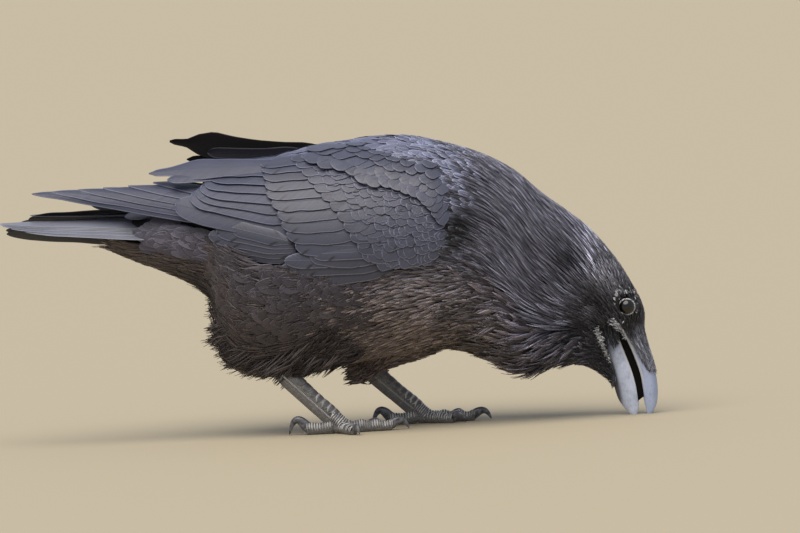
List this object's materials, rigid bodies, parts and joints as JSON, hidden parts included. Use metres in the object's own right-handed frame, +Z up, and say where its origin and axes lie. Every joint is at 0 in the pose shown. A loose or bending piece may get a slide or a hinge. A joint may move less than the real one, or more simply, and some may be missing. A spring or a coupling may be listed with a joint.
{
  "type": "raven",
  "caption": "Life-size common raven standing on both feet and bending forward to peck at the ground, with folded wings and a long wedge tail.",
  "frame": {"origin": "on the floor under the middle of the bird's box", "axes": "+X towards the bill, +Y to the bird's left, +Z up from the floor it stands on"},
  "size_m": [0.5678, 0.1648, 0.2662],
  "materials": {
    "body_plumage": "glossy black feathers with a violet-blue sheen",
    "wing_coverts": "glossy black feathers with a grey-violet sheen",
    "flight_feathers": "satin black vanes with a raised shaft",
    "bill_horn": "smooth worn horn",
    "eyes": "wet and clear, dark brown iris",
    "leg_scales": "dull scaly skin with pale edges",
    "claws": "worn horn"
  },
  "bodies": {
    "root": {"trunk": "body_plumage", "neck": "body_plumage", "head": "body_plumage", "bill_upper": "bill_horn", "bill_lower": "bill_horn", "nasal_bristles": "body_plumage", "eye_right": "eyes", "eye_left": "eyes", "tail": "flight_feathers", "wing_right_coverts": "wing_coverts", "wing_right_alula": "flight_feathers", "wing_right_primary_coverts": "wing_coverts", "wing_right_secondaries": "flight_feathers", "wing_right_tertials": "flight_feathers", "wing_right_primaries": "flight_feathers", "wing_left_coverts": "wing_coverts", "wing_left_alula": "flight_feathers", "wing_left_primary_coverts": "wing_coverts", "wing_left_secondaries": "flight_feathers", "wing_left_tertials": "flight_feathers", "wing_left_primaries": "flight_feathers", "thigh_right": "body_plumage", "shank_right": "leg_scales", "toe_right_middle": "leg_scales", "claw_right_middle": "claws", "toe_right_inner": "leg_scales", "claw_right_inner": "claws", "toe_right_outer": "leg_scales", "claw_right_outer": "claws", "toe_right_hind": "leg_scales", "claw_right_hind": "claws", "thigh_left": "body_plumage", "shank_left": "leg_scales", "toe_left_middle": "leg_scales", "claw_left_middle": "claws", "toe_left_inner": "leg_scales", "claw_left_inner": "claws", "toe_left_outer": "leg_scales", "claw_left_outer": "claws", "toe_left_hind": "leg_scales", "claw_left_hind": "claws"}
  },
  "joints": []
}
